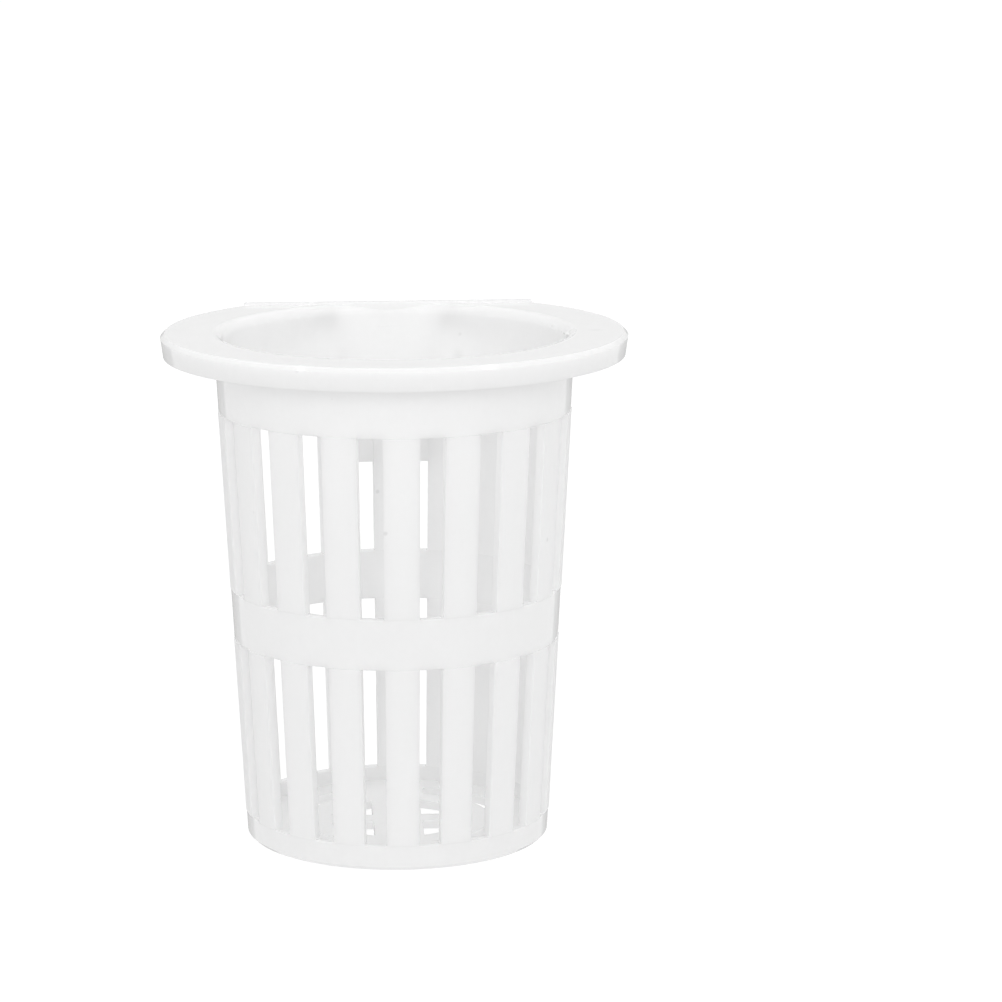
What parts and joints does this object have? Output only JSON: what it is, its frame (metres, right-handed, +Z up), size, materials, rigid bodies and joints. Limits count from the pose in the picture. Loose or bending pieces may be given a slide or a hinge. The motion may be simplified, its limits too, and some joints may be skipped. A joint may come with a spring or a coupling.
{
  "type": "hydroponic net pot",
  "caption": "Tapered white plastic pot with slotted walls and an open floor, hung by a wide flanged rim so that a plant's roots reach the nutrient water below.",
  "frame": {"origin": "on the pot's axis, in the plane that the foot ring stands on", "axes": "+Z up along the pot's axis, +Y towards the straight side of the rim"},
  "size_m": [0.09, 0.0796, 0.1],
  "materials": {
    "white_plastic": "moulded polypropylene, semi-gloss on the rim and plain bands, more matt between the slots"
  },
  "bodies": {
    "root": {"net_pot": "white_plastic"}
  },
  "joints": []
}
